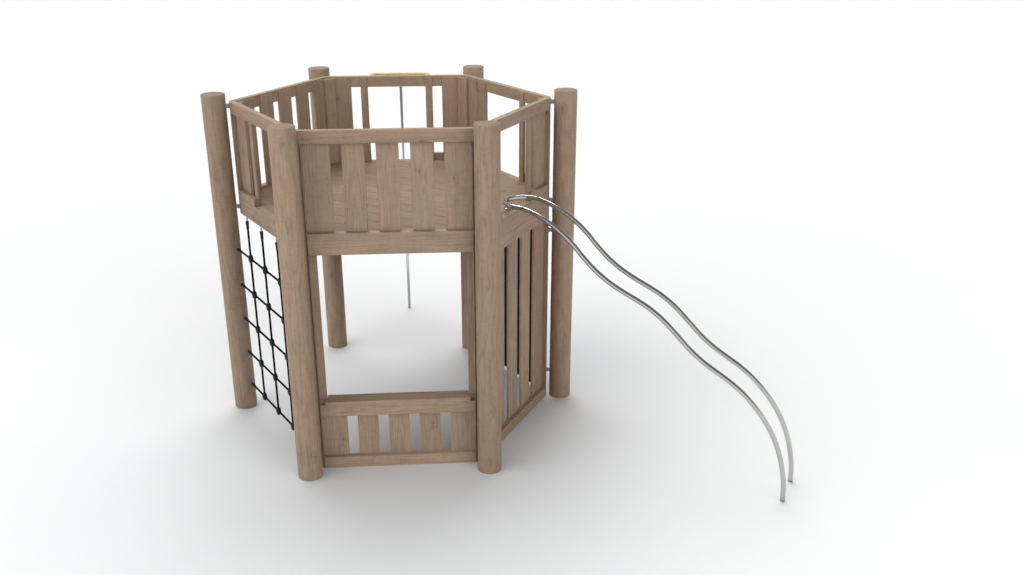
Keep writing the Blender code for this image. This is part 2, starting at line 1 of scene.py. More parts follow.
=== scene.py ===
"""Looks of the hexagonal timber play tower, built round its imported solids.

Metres, +Z up. Every side is made in the front pose, with its outer face towards -Y, and
is then turned about the tower's axis to its own place, as in the part's own source.
"""
import math
import random

import bmesh
import bpy
from mathutils import Matrix, Vector


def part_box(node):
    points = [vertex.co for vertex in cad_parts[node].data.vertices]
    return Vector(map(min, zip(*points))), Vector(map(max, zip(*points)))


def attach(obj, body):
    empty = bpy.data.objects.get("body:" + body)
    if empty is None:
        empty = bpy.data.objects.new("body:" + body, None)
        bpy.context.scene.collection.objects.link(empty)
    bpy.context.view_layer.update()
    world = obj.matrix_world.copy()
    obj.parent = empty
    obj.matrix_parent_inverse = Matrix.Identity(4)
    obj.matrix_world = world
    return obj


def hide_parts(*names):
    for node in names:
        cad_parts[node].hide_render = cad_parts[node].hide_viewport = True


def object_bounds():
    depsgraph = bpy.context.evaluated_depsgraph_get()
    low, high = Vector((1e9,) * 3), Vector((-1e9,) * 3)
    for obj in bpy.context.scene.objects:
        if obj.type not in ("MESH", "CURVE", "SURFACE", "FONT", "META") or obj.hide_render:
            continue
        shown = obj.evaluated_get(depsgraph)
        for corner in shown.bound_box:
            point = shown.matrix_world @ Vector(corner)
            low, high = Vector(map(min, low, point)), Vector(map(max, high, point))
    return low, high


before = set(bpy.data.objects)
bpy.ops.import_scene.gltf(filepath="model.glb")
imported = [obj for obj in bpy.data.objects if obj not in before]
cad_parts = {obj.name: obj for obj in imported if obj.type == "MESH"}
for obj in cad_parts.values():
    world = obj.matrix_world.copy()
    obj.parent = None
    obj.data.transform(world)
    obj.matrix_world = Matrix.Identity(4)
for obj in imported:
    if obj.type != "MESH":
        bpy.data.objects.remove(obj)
CAD_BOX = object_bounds()

# Sizes read from the solids
DECK_LOW, DECK_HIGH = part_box("deck")
AXIS = (DECK_LOW + DECK_HIGH) / 2                  # the tower's own axis, in X and Y
FRONT_LOW, FRONT_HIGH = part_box("parapet_front")
APOTHEM = AXIS.y - FRONT_LOW.y                     # axis to the outer face of a side
BEAM_FOOT = FRONT_LOW.z
RAIL_TOP = FRONT_HIGH.z
LOW_WALL_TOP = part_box("low_parapet_front")[1].z
SHELF_LOW, SHELF_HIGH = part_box("shelf_front")
POST_LOW, POST_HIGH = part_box("post_right")
POST_D = POST_HIGH.x - POST_LOW.x
POST_H = POST_HIGH.z
POST_CIRCLE_R = (POST_LOW.x + POST_HIGH.x) / 2 - AXIS.x
PANEL_LOW, PANEL_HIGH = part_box("panel_right_back")
POLE_LOW, POLE_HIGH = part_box("fire_pole")

# Timber
POST_SIDES = 96
POST_ARRIS = 0.006
CORNER_ROUND_R = 0.070
CORNER_FACE_W = 0.0425
CORNER_LEG_W = 0.045
SEAT_GAP = 0.0003            # left between timbers that seat on one another
BEAM_H = 0.128
SILL_H = 0.021
RAIL_H = 0.086
RAIL_T = 0.045
BOARD_W = 0.145
BOARD_GAP = 0.074
BOARD_T = 0.020
BOARD_INSET = 0.033          # from the outer face of a side to the boards' outer face
BOARD_TOP_DROP = 0.012       # how far a board stops short of its rail's edge
GATE_W = 0.470
BALUSTER_W = 0.0575
BALUSTER_GAP = 0.077
KICK_H = 0.056
DECK_T = 0.028
PLANK_W = 0.145
PLANK_GAP = 0.003
PLANK_ARRIS = 0.0025
PLANK_TURN = -30             # the planks run towards the slide
JOIST_W = 0.045
JOIST_PITCH = 0.420
JOIST_COUNT = 5
FOOT_RAIL_H = 0.0866
WALL_HEAD_H = 0.089
SHELF_DEPTH = 0.115
SHELF_NOTCH_W = 0.033
PANEL_T = 0.020
PANEL_INSET = 0.013

# Screws: diameter, rise of the head, how far it is let in, and where it sits
SCREW_D = 0.009
SCREW_SEAT = 0.0004
DECK_SCREW_RISE = 0.0008
DECK_SCREW_EDGE = 0.030
BOARD_SCREW_RISE = 0.0010
RAIL_SCREW_Z = RAIL_TOP - RAIL_H / 2 - 0.004
FOOT_SCREW_Z = FOOT_RAIL_H / 2 + 0.006
LOW_WALL_SCREW_DROP = 0.032
TALL_WALL_SCREW_DROP = 0.034

# Distance tubes
SPACER_D = 0.037
SPACER_NECK_D = 0.033
SPACER_COLLAR_T = 0.004
SPACER_CHAMFER = 0.0005
SPACER_SUNK = 0.006          # how far each end runs into its post
SPACER_HEIGHTS = (RAIL_TOP - 0.034, BEAM_FOOT + 0.048, 1.424, 0.227)

# Net. A profile is pairs of a distance along the axis and the diameter there.
ROPE_D = 0.016
ROPE_STRANDS = 6
ROPE_LAY = 0.085             # length in which a strand winds once round the rope
ROPE_GROOVE = 0.13           # depth of the grooves between strands, of the radius
NET_STANDOFF = 0.050
NET_UPRIGHT_PITCH = 0.280
NET_TOP_ROW_DROP = 0.271
NET_ROW_PITCH = 0.2825
NET_ROWS = 5
NET_EYE_Z = BEAM_FOOT + 0.039
NET_TAIL = 0.012             # what an upright rope runs on below the lowest row
SLEEVE_TO_POST = 0.043
TOP_SLEEVE_BELOW_EYE = 0.046
POST_SLEEVE = (
    (-0.030, 0.018), (-0.026, 0.0195), (-0.010, 0.0215), (0.004, 0.0265),
    (0.016, 0.0280), (0.022, 0.0265), (0.023, 0.0220),
)
TOP_SLEEVE = (
    (-0.034, 0.018), (-0.030, 0.0195), (-0.008, 0.0205), (0.012, 0.0235),
    (0.022, 0.0240), (0.026, 0.0220),
)
SHANK_START = 0.018          # where the steel shank comes out of its sleeve
POST_SHANK = ((0, 0.008), (0.045, 0.008))
TOP_SHANK = ((0, 0.007), (0.016, 0.007))
EYE_RING_R = 0.0095
EYE_RING_STEPS = 24
EYE_RING_DROP = 0.0045
EYE_WIRE_D = 0.006
POST_WASHER_START = -0.012
POST_WASHER = ((0, 0.018), (0.001, 0.020), (0.008, 0.020), (0.012, 0.026), (0.020, 0.026))
EYE_BOLT_START = -0.002
EYE_BOLT_RISE = 0.003
EYE_BOLT = (
    (0, 0.005), (NET_STANDOFF - 0.003, 0.005), (NET_STANDOFF - 0.003, 0.014),
    (NET_STANDOFF + 0.001, 0.014),
)
UPRIGHT_JOINT = (0.060, 0.020, 0.036)    # length, diameter of the necks and of the belly
ACROSS_JOINT = (0.052, 0.020, 0.031)
JOINT_END = 0.92             # the neck's end, as a share of its diameter
JOINT_STEPS = 12

# Slide
SLIDE_TUBE_D = 0.0337
TUBE_EASE = 0.0002           # keeps the rounder tube inside the solids' own box
SLIDE_HALF_GAUGE = 0.1335
SLIDE_BEND_OUT = 0.054
SLIDE_BEND_RISE = 0.064
SLIDE_BEND_STEPS = 36
SLIDE_PROFILE = (
    (0.110, 1.803), (0.200, 1.776), (0.300, 1.731), (0.400, 1.669), (0.480, 1.603),
    (0.560, 1.521), (0.650, 1.440), (0.750, 1.372), (0.850, 1.321), (0.950, 1.278),
    (1.050, 1.230), (1.150, 1.163), (1.250, 1.075), (1.350, 0.982), (1.450, 0.909),
    (1.550, 0.853), (1.650, 0.796), (1.750, 0.722), (1.850, 0.620), (1.930, 0.510),
    (1.986, 0.400), (2.021, 0.300), (2.045, 0.200), (2.059, 0.100), (2.063, -0.040),
)
PEG_FOOT = ((0, 0.050), (0.004, 0.050), (0.005, 0.048), (0.005, 0.030), (0.009, 0.0245))
PEG_HEAD = ((-0.002, 0.0235), (0.001, 0.027), (0.005, 0.027))    # from the tube's underside
PEG_SCREW_RING_R = 0.019
PEG_SCREW_Z = 0.0045
PEG_SCREW_D = 0.007
PEG_SCREW_RISE = 0.002

# Hoop and fire pole
HOOP_D = 0.0337
HOOP_W = 0.500
HOOP_CORNER_R = 0.070
HOOP_CORNER_STEPS = 16
HOOP_RAIL_Z = RAIL_TOP - 0.048
HOOP_FALL = 0.100
HOOP_PLATE_D = 0.070
HOOP_PLATE_T = 0.006
HOOP_FLANGE = (
    (0, HOOP_PLATE_D), (0.005, HOOP_PLATE_D), (0.006, HOOP_PLATE_D - 0.002),
    (0.006, 0.042), (0.010, 0.035), (0.012, 0.034),
)
FLANGE_SCREW_RING_R = 0.026
FLANGE_SCREW_OUT = 0.0055
FLANGE_SCREW_D = 0.009
FLANGE_SCREW_RISE = 0.003
POLE_OUT = 0.910
POLE_SOCKET_D = 0.042
POLE_SOCKET_LIP = 0.001
POLE_SOCKET_L = 0.050
SOLID_HOOP_FALL = 0.088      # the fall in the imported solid, whose socket's foot is kept
POLE_SOCKET_FOOT = HOOP_RAIL_Z - SOLID_HOOP_FALL - HOOP_D / 2 - POLE_SOCKET_L

# Worked out from the sizes above
COS30 = math.cos(math.radians(30))
HALF_SIDE = APOTHEM / COS30 / 2
ROUND_CENTRE_R = (APOTHEM - CORNER_ROUND_R) / COS30
FACE_EDGE = HALF_SIDE - CORNER_FACE_W
LEG_EDGE = FACE_EDGE - CORNER_LEG_W
SIDE_EDGE = FACE_EDGE - SEAT_GAP
BOARD_BACK = BOARD_INSET + BOARD_T
BEAM_TOP = BEAM_FOOT + BEAM_H
RAIL_FOOT = RAIL_TOP - RAIL_H
DECK_TOP = DECK_HIGH.z
POLE_D = POLE_HIGH.x - POLE_LOW.x

SIDE_TURNS = {
    "front": 0, "right_front": 60, "right_back": 120,
    "back": 180, "left_back": 240, "left_front": 300,
}
CORNER_TURNS = {
    "right": 0, "back_right": 60, "back_left": 120,
    "left": 180, "front_left": 240, "front_right": 300,
}
SHORT_CORNERS = ("left", "back_left")
CLOSED_SIDES = ("front", "left_back")

ARRIS = 0.0022               # small rounding on every sawn edge
SHARP_ANGLE = 25             # edges turned further than this are rounded
FLAT_ANGLE = 0.5             # faces turned less than this to each other are one flat
MERGE_DISTANCE = 0.00002
CUT_MERGE_DISTANCE = 0.00001
TURNED_STEP = 1e-6           # keeps rings of a turned piece apart where a profile steps
DOME_SKIRT = 0.001           # how far a screw's head runs on into what it holds
RANDOM = random.Random(11)


def polar(radius, degrees):
    angle = math.radians(degrees)
    return radius * math.cos(angle), radius * math.sin(angle)


def turned(points, degrees):
    c, s = polar(1.0, degrees)
    return [(x * c - y * s, x * s + y * c) for x, y in points]


# Gathering pieces into meshes

PITH_ASIDE = 0.07            # how far the pith of a sawn piece lies off its middle
PITH_BELOW = (0.03, 0.12)
POST_PITH_OFF = 0.014
GRAIN_START = 30             # each piece is cut from its own place along the grain


def to_frame(mesh, turn=0.0):
    """Take a mesh from the front pose about the tower's axis to its own place."""
    place = Matrix.Translation((AXIS.x, AXIS.y, 0.0))
    mesh.transform(place @ Matrix.Rotation(math.radians(turn), 4, "Z"))


def show(name, mesh, material, nodes=()):
    """Put a mesh in the scene with its finish, in place of the solids it stands for."""
    item = bpy.data.objects.new(name, mesh)
    bpy.context.scene.collection.objects.link(item)
    mesh.materials.append(material)
    if nodes:
        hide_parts(*nodes)
    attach(item, "root")


class Gather:
    """Plain pieces gathered into one mesh."""

    def __init__(self):
        self.shape = bmesh.new()

    def add(self, piece, turn=0.0):
        if turn:
            piece.transform(Matrix.Rotation(math.radians(turn), 4, "Z"))
        made = {vert: self.shape.verts.new(vert.co) for vert in piece.verts}
        for face in piece.faces:
            new = self.shape.faces.new([made[v] for v in face.verts])
            new.smooth = face.smooth
        piece.free()

    def mesh(self, name, turn=0.0):
        mesh = bpy.data.meshes.new(name)
        self.shape.to_mesh(mesh)
        self.shape.free()
        to_frame(mesh, turn)
        return mesh


class Timber(Gather):
    """Sawn pieces gathered into one mesh, each with its own place in the grain."""

    def __init__(self):
        super().__init__()
        self.grain = self.shape.verts.layers.float_vector.new("grain")
        self.tone = self.shape.verts.layers.float.new("tone")

    def add(self, piece, axes="xyz", pith=None, turn=0.0):
        """Take in a piece whose width, thickness and length run along the named axes."""
        placed = Matrix.Rotation(math.radians(turn), 4, "Z")
        if pith is None:
            side = RANDOM.choice((-1, 1))
            pith = (RANDOM.uniform(-PITH_ASIDE, PITH_ASIDE), side * RANDOM.uniform(*PITH_BELOW))
        start = Vector((pith[0], pith[1], RANDOM.uniform(-GRAIN_START, GRAIN_START)))
        tone = RANDOM.random()
        middle = sum((v.co for v in piece.verts), Vector()) / len(piece.verts)
        order = ["xyz".index(axis) for axis in axes]
        made = {}
        for vert in piece.verts:
            new = self.shape.verts.new(placed @ vert.co)
            local = vert.co - middle
            new[self.grain] = Vector([local[axis] for axis in order]) + start
            new[self.tone] = tone
            made[vert] = new
        for face in piece.faces:
            new = self.shape.faces.new([made[v] for v in face.verts])
            new.smooth = face.smooth
        piece.free()


# Sawn shapes

def soften(shape, width=ARRIS):
    """Round the sharp edges of a piece and smooth only what is curved."""
    for face in shape.faces:
        face.smooth = False
    sharp = []
    for edge in shape.edges:
        if len(edge.link_faces) != 2:
            continue
        angle = math.degrees(edge.calc_face_angle())
        if angle > SHARP_ANGLE:
            sharp.append(edge)
        elif angle > FLAT_ANGLE:
            for face in edge.link_faces:
                face.smooth = True
    made = bmesh.ops.bevel(shape, geom=sharp, offset=width, segments=2, profile=0.5,
                           affect="EDGES")
    for face in made["faces"]:
        face.smooth = True
    bmesh.ops.recalc_face_normals(shape, faces=shape.faces)
    return shape


def box_shape(low, high):
    low, high = Vector(low), Vector(high)
    shape = bmesh.new()
    place = Matrix.Translation((low + high) / 2) @ Matrix.Diagonal((*(high - low), 1.0))
    bmesh.ops.create_cube(shape, size=1.0, matrix=place)
    return shape


def side_plank(left, right, inset, thickness, bottom, top):
    """A sawn piece of the front side: along it, in from its outer face, and in height."""
    front = inset - APOTHEM
    return soften(box_shape((left, front, bottom), (right, front + thickness, top)))


def raised(outline, bottom, top):
    """A flat outline raised from one height to another, its sharp edges rounded."""
    shape = bmesh.new()
    base = shape.faces.new([shape.verts.new((x, y, bottom)) for x, y in outline])
    made = bmesh.ops.extrude_face_region(shape, geom=[base])
    lifted = [item for item in made["geom"] if isinstance(item, bmesh.types.BMVert)]
    bmesh.ops.translate(shape, verts=lifted, vec=(0, 0, top - bottom))
    bmesh.ops.recalc_face_normals(shape, faces=shape.faces)
    return soften(shape)


def solid_shape(node):
    """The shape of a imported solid, its flat faces whole, about the tower's axis."""
    shape = bmesh.new()
    shape.from_mesh(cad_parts[node].data)
    bmesh.ops.remove_doubles(shape, verts=shape.verts, dist=MERGE_DISTANCE)
    bmesh.ops.dissolve_limit(shape, angle_limit=math.radians(FLAT_ANGLE), verts=shape.verts,
                             edges=shape.edges)
    shape.transform(Matrix.Translation((-AXIS.x, -AXIS.y, 0.0)))
    return shape


def round_corner(first, last, steps=14):
    """Points on the outer rounding at the corner that lies along +X."""
    points = []
    for step in range(steps + 1):
        x, y = polar(CORNER_ROUND_R, first + (last - first) * step / steps)
        points.append((ROUND_CENTRE_R + x, y))
    return points


def rail_outline():
    short = math.degrees(math.asin(SEAT_GAP / 2 / CORNER_ROUND_R))
    outer = turned(round_corner(-30, -short), -60)
    inner = ((APOTHEM - RAIL_T) / 2 - SEAT_GAP / 2) / COS30
    right = outer + [(inner, RAIL_T - APOTHEM)]
    return right + [(-x, y) for x, y in reversed(right)]


def board_spans():
    pitch = BOARD_W + BOARD_GAP
    half = BOARD_W / 2
    spans = [(middle - half, middle + half) for middle in (-pitch, 0.0, pitch)]
    end = pitch + half + BOARD_GAP
    return [(-SIDE_EDGE, -end), *spans, (end, SIDE_EDGE)]


def gate_spans():
    half = GATE_W / 2
    end = half + BALUSTER_W + BALUSTER_GAP
    right = [(half, half + BALUSTER_W), (end, SIDE_EDGE)]
    return right + [(-last, -first) for first, last in right]


# Turned and bent shapes

def circle(diameter, sides):
    return [(2 * math.pi * k / sides, diameter / 2) for k in range(sides)]


def swept(points, section, scales=None, twist=0.0):
    """A section of angles and radii carried along a line, both ends closed."""
    points = [Vector(point) for point in points]
    shape = bmesh.new()
    rings = []
    side = None
    walked = 0.0
    for number, point in enumerate(points):
        before, after = points[max(number - 1, 0)], points[min(number + 1, len(points) - 1)]
        ahead = (after - before).normalized()
        if side is None:
            side = ahead.orthogonal().normalized()
        side = (side - ahead * side.dot(ahead)).normalized()
        up = ahead.cross(side)
        if number:
            walked += (point - points[number - 1]).length
        size = scales[number] if scales else 1.0
        ring = []
        for angle, radius in section:
            turn = angle + walked * twist
            offset = side * math.cos(turn) + up * math.sin(turn)
            ring.append(shape.verts.new(point + offset * radius * size))
        rings.append(ring)
    for below, above in zip(rings, rings[1:]):
        for k in range(len(section)):
            j = (k + 1) % len(section)
            shape.faces.new((below[k], below[j], above[j], above[k])).smooth = True
    shape.faces.new(list(reversed(rings[0])))
    shape.faces.new(rings[-1])
    return shape


def lathe(start, along, profile, sides=24):
    """A turned piece: distances along an axis, each with the diameter there."""
    start, along = Vector(start), Vector(along).normalized()
    points, scales = [], []
    for number, (distance, diameter) in enumerate(profile):
        points.append(start + along * (distance + number * TURNED_STEP))
        scales.append(diameter)
    return swept(points, circle(1.0, sides), scales)


def dome(start, along, diameter, height, sides=12):
    """A low domed head, as of a screw or bolt."""
    profile = [(-DOME_SKIRT, diameter)]
    for step in range(4):
        reach, lift = polar(1.0, 26 * step)
        profile.append((height * lift, diameter * reach))
    return lathe(start, along, profile, sides)


def rope(start, end, steps_a_lay=14, sides_a_strand=4):
    """A laid rope: strands that wind round one another."""
    start, end = Vector(start), Vector(end)
    length = (end - start).length
    steps = max(2, round(length / (ROPE_LAY / steps_a_lay)))
    points = [start.lerp(end, step / steps) for step in range(steps + 1)]
    sides = ROPE_STRANDS * sides_a_strand
    section = []
    for k in range(sides):
        angle = 2 * math.pi * k / sides
        swell = abs(math.cos(ROPE_STRANDS * angle / 2))
        section.append((angle, ROPE_D / 2 * (1 - ROPE_GROOVE + ROPE_GROOVE * swell)))
    return swept(points, section, twist=2 * math.pi / ROPE_LAY)


def smooth_line(points, steps):
    """Points on a smooth curve through the given ones."""
    points = [Vector(point) for point in points]
    ends = [2 * points[0] - points[1], *points, 2 * points[-1] - points[-2]]
    line = [points[0]]
    for before, start, end, after in zip(ends, ends[1:], ends[2:], ends[3:]):
        for step in range(1, steps + 1):
            t = step / steps
            line.append(0.5 * (
                2 * start + (end - before) * t
                + (2 * before - 5 * start + 4 * end - after) * t ** 2
                + (3 * start - before - 3 * end + after) * t ** 3))
    return line


# Materials

WOOD_ROUGHNESS = 0.62
WOOD_GLOSS = 0.28
RING_SPACING = 0.0085
GRAIN_NOISES = {             # scale across and along the grain, noise scale, detail, roughness
    "tint": ((1.0, 1.0, 0.07), 17.0, 3.0, 0.6),
    "patch": ((1.0, 1.0, 0.35), 7.0, 2.0, 0.5),
    "streak": ((1.0, 1.0, 0.030), 85.0, 4.0, 0.70),
    "fibre": ((1.0, 1.0, 0.045), 230.0, 3.0, 0.65),
    "curl": ((0.35, 0.35, 1.0), 60.0, 2.0, 0.5),
    "sway": ((1.0, 1.0, 0.22), 5.0, 2.0, 0.5),
}
RING_SHIFTS = {"sway": 0.055, "length": 0.010, "knots": 0.006}    # metres off a plain cylinder
TINT_SHARES = {"tint": 0.7, "patch": 0.3}
STREAK_DARK = (0.30, 0.75, 0.19)         # from where, to where, and how dark
FIBRE_DARK = (0.35, 0.65, 0.16)
CURL_DARK = (0.42, 0.72, 0.07)
PATCH_DARK = (0.45, 0.80, 0.10)
RING_DARK = 0.10
KNOT_BEND_DARK = 0.11
WOOD_LIGHT = 1.14            # the wood's colour is taken at this level before it is darkened
PIECE_TONES = (0.94, 1.05)
KNOT_SCALE = (7.0, 7.0, 4.2)
KNOT_HEART = (0.03, 0.10)    # distances from a knot's middle
KNOT_BEND = (0.05, 0.34)
KNOT_HEART_SHARE = 0.55
KNOT_BROWN = 0.4             # a knot's heart, as a share of the wood's pink tint
# upward facing at which post wood darkens: its end grain, and painted shade on the tops
END_GRAIN_AND_SHADE_FACING = (0.60, 0.95)
CLOUDS = (0.35, 0.65)        # the range of a noise over which a coat or a metal changes
COAT_DARKER = 0.8
STEEL_CLOUD_SCALE = 7.0
STEEL_SHEEN = (-0.05, 0.07)  # how far the roughness wanders either way


def new_material(name, roughness, metallic=0.0):
    material = bpy.data.materials.new(name)
    material.use_nodes = True
    tree = material.node_tree
    shader = tree.nodes["Principled BSDF"]
    shader.inputs["Roughness"].default_value = roughness
    shader.inputs["Metallic"].default_value = metallic
    return material, tree, shader


def feed(tree, socket, value):
    """Link a socket to another, or set it to a plain value."""
    if isinstance(value, bpy.types.NodeSocket):
        tree.links.new(value, socket)
    elif isinstance(value, tuple) and len(value) == 3 and socket.type == "RGBA":
        socket.default_value = (*value, 1.0)
    else:
        socket.default_value = value


def maths(tree, operation, *values):
    node = tree.nodes.new("ShaderNodeMath")
    node.operation = operation
    for socket, value in zip(node.inputs, values):
        feed(tree, socket, value)
    return node.outputs[0]


def plus(tree, total, *parts):
    """A value with others added, each times its own weight."""
    for value, weight in parts:
        total = maths(tree, "ADD", total, maths(tree, "MULTIPLY", value, weight))
    return total


def spread(tree, value, low, high, first=0.0, last=1.0):
    """A value's range from low to high carried smoothly to another range."""
    node = tree.nodes.new("ShaderNodeMapRange")
    node.interpolation_type = "SMOOTHSTEP"
    for socket, number in zip(node.inputs[:5], (value, low, high, first, last)):
        feed(tree, socket, number)
    return node.outputs[0]


def noise(tree, vector, scale, detail=2.0, rough=0.5):
    node = tree.nodes.new("ShaderNodeTexNoise")
    node.inputs["Scale"].default_value = scale
    node.inputs["Detail"].default_value = detail
    node.inputs["Roughness"].default_value = rough
    tree.links.new(vector, node.inputs["Vector"])
    return node.outputs["Fac"]


def stretched(tree, vector, scale):
    node = tree.nodes.new("ShaderNodeMapping")
    node.inputs["Scale"].default_value = scale
    tree.links.new(vector, node.inputs["Vector"])
    return node.outputs[0]


def mixed(tree, factor, first, second, blend="MIX"):
    node = tree.nodes.new("ShaderNodeMix")
    node.data_type = "RGBA"
    node.blend_type = blend
    for name, value in (("Factor", factor), ("A", first), ("B", second)):
        socket = [s for s in node.inputs if s.name == name and s.enabled][0]
        feed(tree, socket, value)
    return [s for s in node.outputs if s.enabled][0]


def bumped(tree, shader, height, strength, distance):
    node = tree.nodes.new("ShaderNodeBump")
    node.inputs["Strength"].default_value = strength
    node.inputs["Distance"].default_value = distance
    tree.links.new(height, node.inputs["Height"])
    tree.links.new(node.outputs[0], shader.inputs["Normal"])


def knots(tree, vector):
    """The dark heart of a knot, and the wider reach in which the grain bends round it."""
    node = tree.nodes.new("ShaderNodeTexVoronoi")
    node.inputs["Scale"].default_value = 1.0
    node.inputs["Randomness"].default_value = 1.0
    tree.links.new(stretched(tree, vector, KNOT_SCALE), node.inputs["Vector"])
    reach = node.outputs["Distance"]
    heart = spread(tree, reach, *KNOT_HEART, 1.0, 0.0)
    return heart, spread(tree, reach, *KNOT_BEND, 1.0, 0.0)


def grain_noise(tree, vector, name):
    stretch, scale, detail, rough = GRAIN_NOISES[name]
    return noise(tree, stretched(tree, vector, stretch), scale, detail, rough)


def growth_rings(tree, vector, bend):
    """Dark late wood at each growth ring round the pith, bending aside at the knots."""
    split = tree.nodes.new("ShaderNodeSeparateXYZ")
    tree.links.new(vector, split.inputs[0])
    x, y, z = split.outputs
    sway = grain_noise(tree, vector, "sway")
    reach = maths(tree, "SQRT", maths(tree, "ADD", maths(tree, "MULTIPLY", x, x),
                                      maths(tree, "MULTIPLY", y, y)))
    reach = plus(tree, reach, (sway, RING_SHIFTS["sway"]), (z, RING_SHIFTS["length"]),
                 (bend, RING_SHIFTS["knots"]))
    wave = maths(tree, "SINE", maths(tree, "MULTIPLY", reach, 2 * math.pi / RING_SPACING))
    return spread(tree, wave, -0.2, 1.0)


def darkening(tree, mark, strength):
    low, high, most = strength
    return maths(tree, "MULTIPLY", spread(tree, mark, low, high), most)


def wood(name, olive, pink, end_grain_and_top_shade=0.0):
    """Planed softwood: growth rings, fibres, drifting tints, small knots, darker upward ends,
    partly end grain and partly painted shade.
    """
    material, tree, shader = new_material(name, WOOD_ROUGHNESS)
    shader.inputs["Specular IOR Level"].default_value = WOOD_GLOSS
    place = tree.nodes.new("ShaderNodeAttribute")
    place.attribute_name = "grain"
    vector = place.outputs["Vector"]
    tone = tree.nodes.new("ShaderNodeAttribute")
    tone.attribute_name = "tone"
    heart, bend = knots(tree, vector)
    rings = growth_rings(tree, vector, bend)
    tint = grain_noise(tree, vector, "tint")
    patch = grain_noise(tree, vector, "patch")
    streak = grain_noise(tree, vector, "streak")
    fibre = grain_noise(tree, vector, "fibre")
    curl = grain_noise(tree, vector, "curl")
    drift = plus(tree, 0.0, (tint, TINT_SHARES["tint"]), (patch, TINT_SHARES["patch"]))
    base = mixed(tree, spread(tree, drift, 0.30, 0.70), olive, pink)
    dark = darkening(tree, streak, STREAK_DARK)
    dark = plus(tree, dark, (rings, RING_DARK))
    for mark, strength in ((fibre, FIBRE_DARK), (curl, CURL_DARK), (patch, PATCH_DARK)):
        dark = maths(tree, "ADD", dark, darkening(tree, mark, strength))
    dark = plus(tree, dark, (bend, KNOT_BEND_DARK))
    # Upward faces are darkened: the sawn end grain, with painted shade on the tops added to it.
    if end_grain_and_top_shade:
        facing = tree.nodes.new("ShaderNodeSeparateXYZ")
        tree.links.new(tree.nodes.new("ShaderNodeNewGeometry").outputs["Normal"],
                       facing.inputs[0])
        end = spread(tree, facing.outputs["Z"], *END_GRAIN_AND_SHADE_FACING, 0.0, end_grain_and_top_shade)
        dark = maths(tree, "ADD", dark, end)
    light = maths(tree, "SUBTRACT", WOOD_LIGHT, dark)
    light = maths(tree, "MULTIPLY", light,
                  spread(tree, tone.outputs["Fac"], 0.0, 1.0, *PIECE_TONES))
    shade = tree.nodes.new("ShaderNodeCombineColor")
    for socket in shade.inputs[:3]:
        tree.links.new(light, socket)
    base = mixed(tree, 1.0, base, shade.outputs[0], "MULTIPLY")
    brown = tuple(c * KNOT_BROWN for c in pink)
    base = mixed(tree, maths(tree, "MULTIPLY", heart, KNOT_HEART_SHARE), base, brown)
    tree.links.new(base, shader.inputs["Base Color"])
    relief = maths(tree, "SUBTRACT", fibre, maths(tree, "MULTIPLY", rings, 0.4))
    bumped(tree, shader, relief, strength=0.30, distance=0.0008)
    return material


def metal(name, colour, roughness, scale, unevenness=0.14, edge=1.0):
    """Steel with faint clouds, a sheen that varies slightly, and its reflection at the rim."""
    material, tree, shader = new_material(name, roughness, 1.0)
    shader.inputs["Specular Tint"].default_value = (edge, edge, edge, 1.0)
    place = tree.nodes.new("ShaderNodeTexCoord").outputs["Object"]
    speck = noise(tree, place, scale, 3.0, 0.6)
    cloud = noise(tree, place, STEEL_CLOUD_SCALE, 2.0)
    darker = tuple(c * (1 - unevenness) for c in colour)
    tree.links.new(mixed(tree, spread(tree, cloud, *CLOUDS), darker, colour),
                   shader.inputs["Base Color"])
    low, high = (roughness + change for change in STEEL_SHEEN)
    tree.links.new(spread(tree, speck, 0.3, 0.7, low, high), shader.inputs["Roughness"])
    return material


def coated(name, colour, roughness, scale=60.0, gloss=0.5):
    """A coat of paint or a moulded skin with slight unevenness."""
    material, tree, shader = new_material(name, roughness)
    shader.inputs["Specular IOR Level"].default_value = gloss
    place = tree.nodes.new("ShaderNodeTexCoord").outputs["Object"]
    cloud = noise(tree, place, scale, 2.0)
    darker = tuple(c * COAT_DARKER for c in colour)
    tree.links.new(mixed(tree, spread(tree, cloud, *CLOUDS), darker, colour),
                   shader.inputs["Base Color"])
    bumped(tree, shader, noise(tree, place, scale * 14, 2.0), strength=0.15, distance=0.0005)
    return material


BOARD_WOOD = wood("board_wood_grain", (0.342, 0.265, 0.183), (0.412, 0.284, 0.203))
# The posts' tops are darkened by 0.30: end grain, and painted shade.
POST_WOOD = wood("post_wood_grain", (0.346, 0.266, 0.184), (0.411, 0.284, 0.199), 0.30)
# The deck's wood is set darker than the boards' and the posts'.
DECK_WOOD = wood("deck_wood_grain", (0.276, 0.194, 0.118), (0.323, 0.215, 0.134))
GREY_STEEL = metal("galvanised_steel", (0.46, 0.47, 0.48), 0.45, 260.0)
POLE_STEEL = metal("brushed_steel", (0.76, 0.76, 0.76), 0.30, 300.0, 0.08, 0.8)
STAINLESS = metal("polished_stainless", (0.54, 0.53, 0.52), 0.15, 400.0, 0.06, 0.5)
BLACK_ROPE = coated("black_rope_yarn", (0.004, 0.004, 0.004), 0.85, 90.0, 0.15)
BLACK_JOINT = coated("black_moulded_joint", (0.010, 0.010, 0.011), 0.50, 90.0, 0.3)
BLACK_PANEL = coated("black_panel_skin", (0.012, 0.007, 0.004), 0.75, 20.0, 0.05)
YELLOW = coated("yellow_powder_coat", (0.66, 0.48, 0.18), 0.45, 30.0, 0.3)


# Timber work

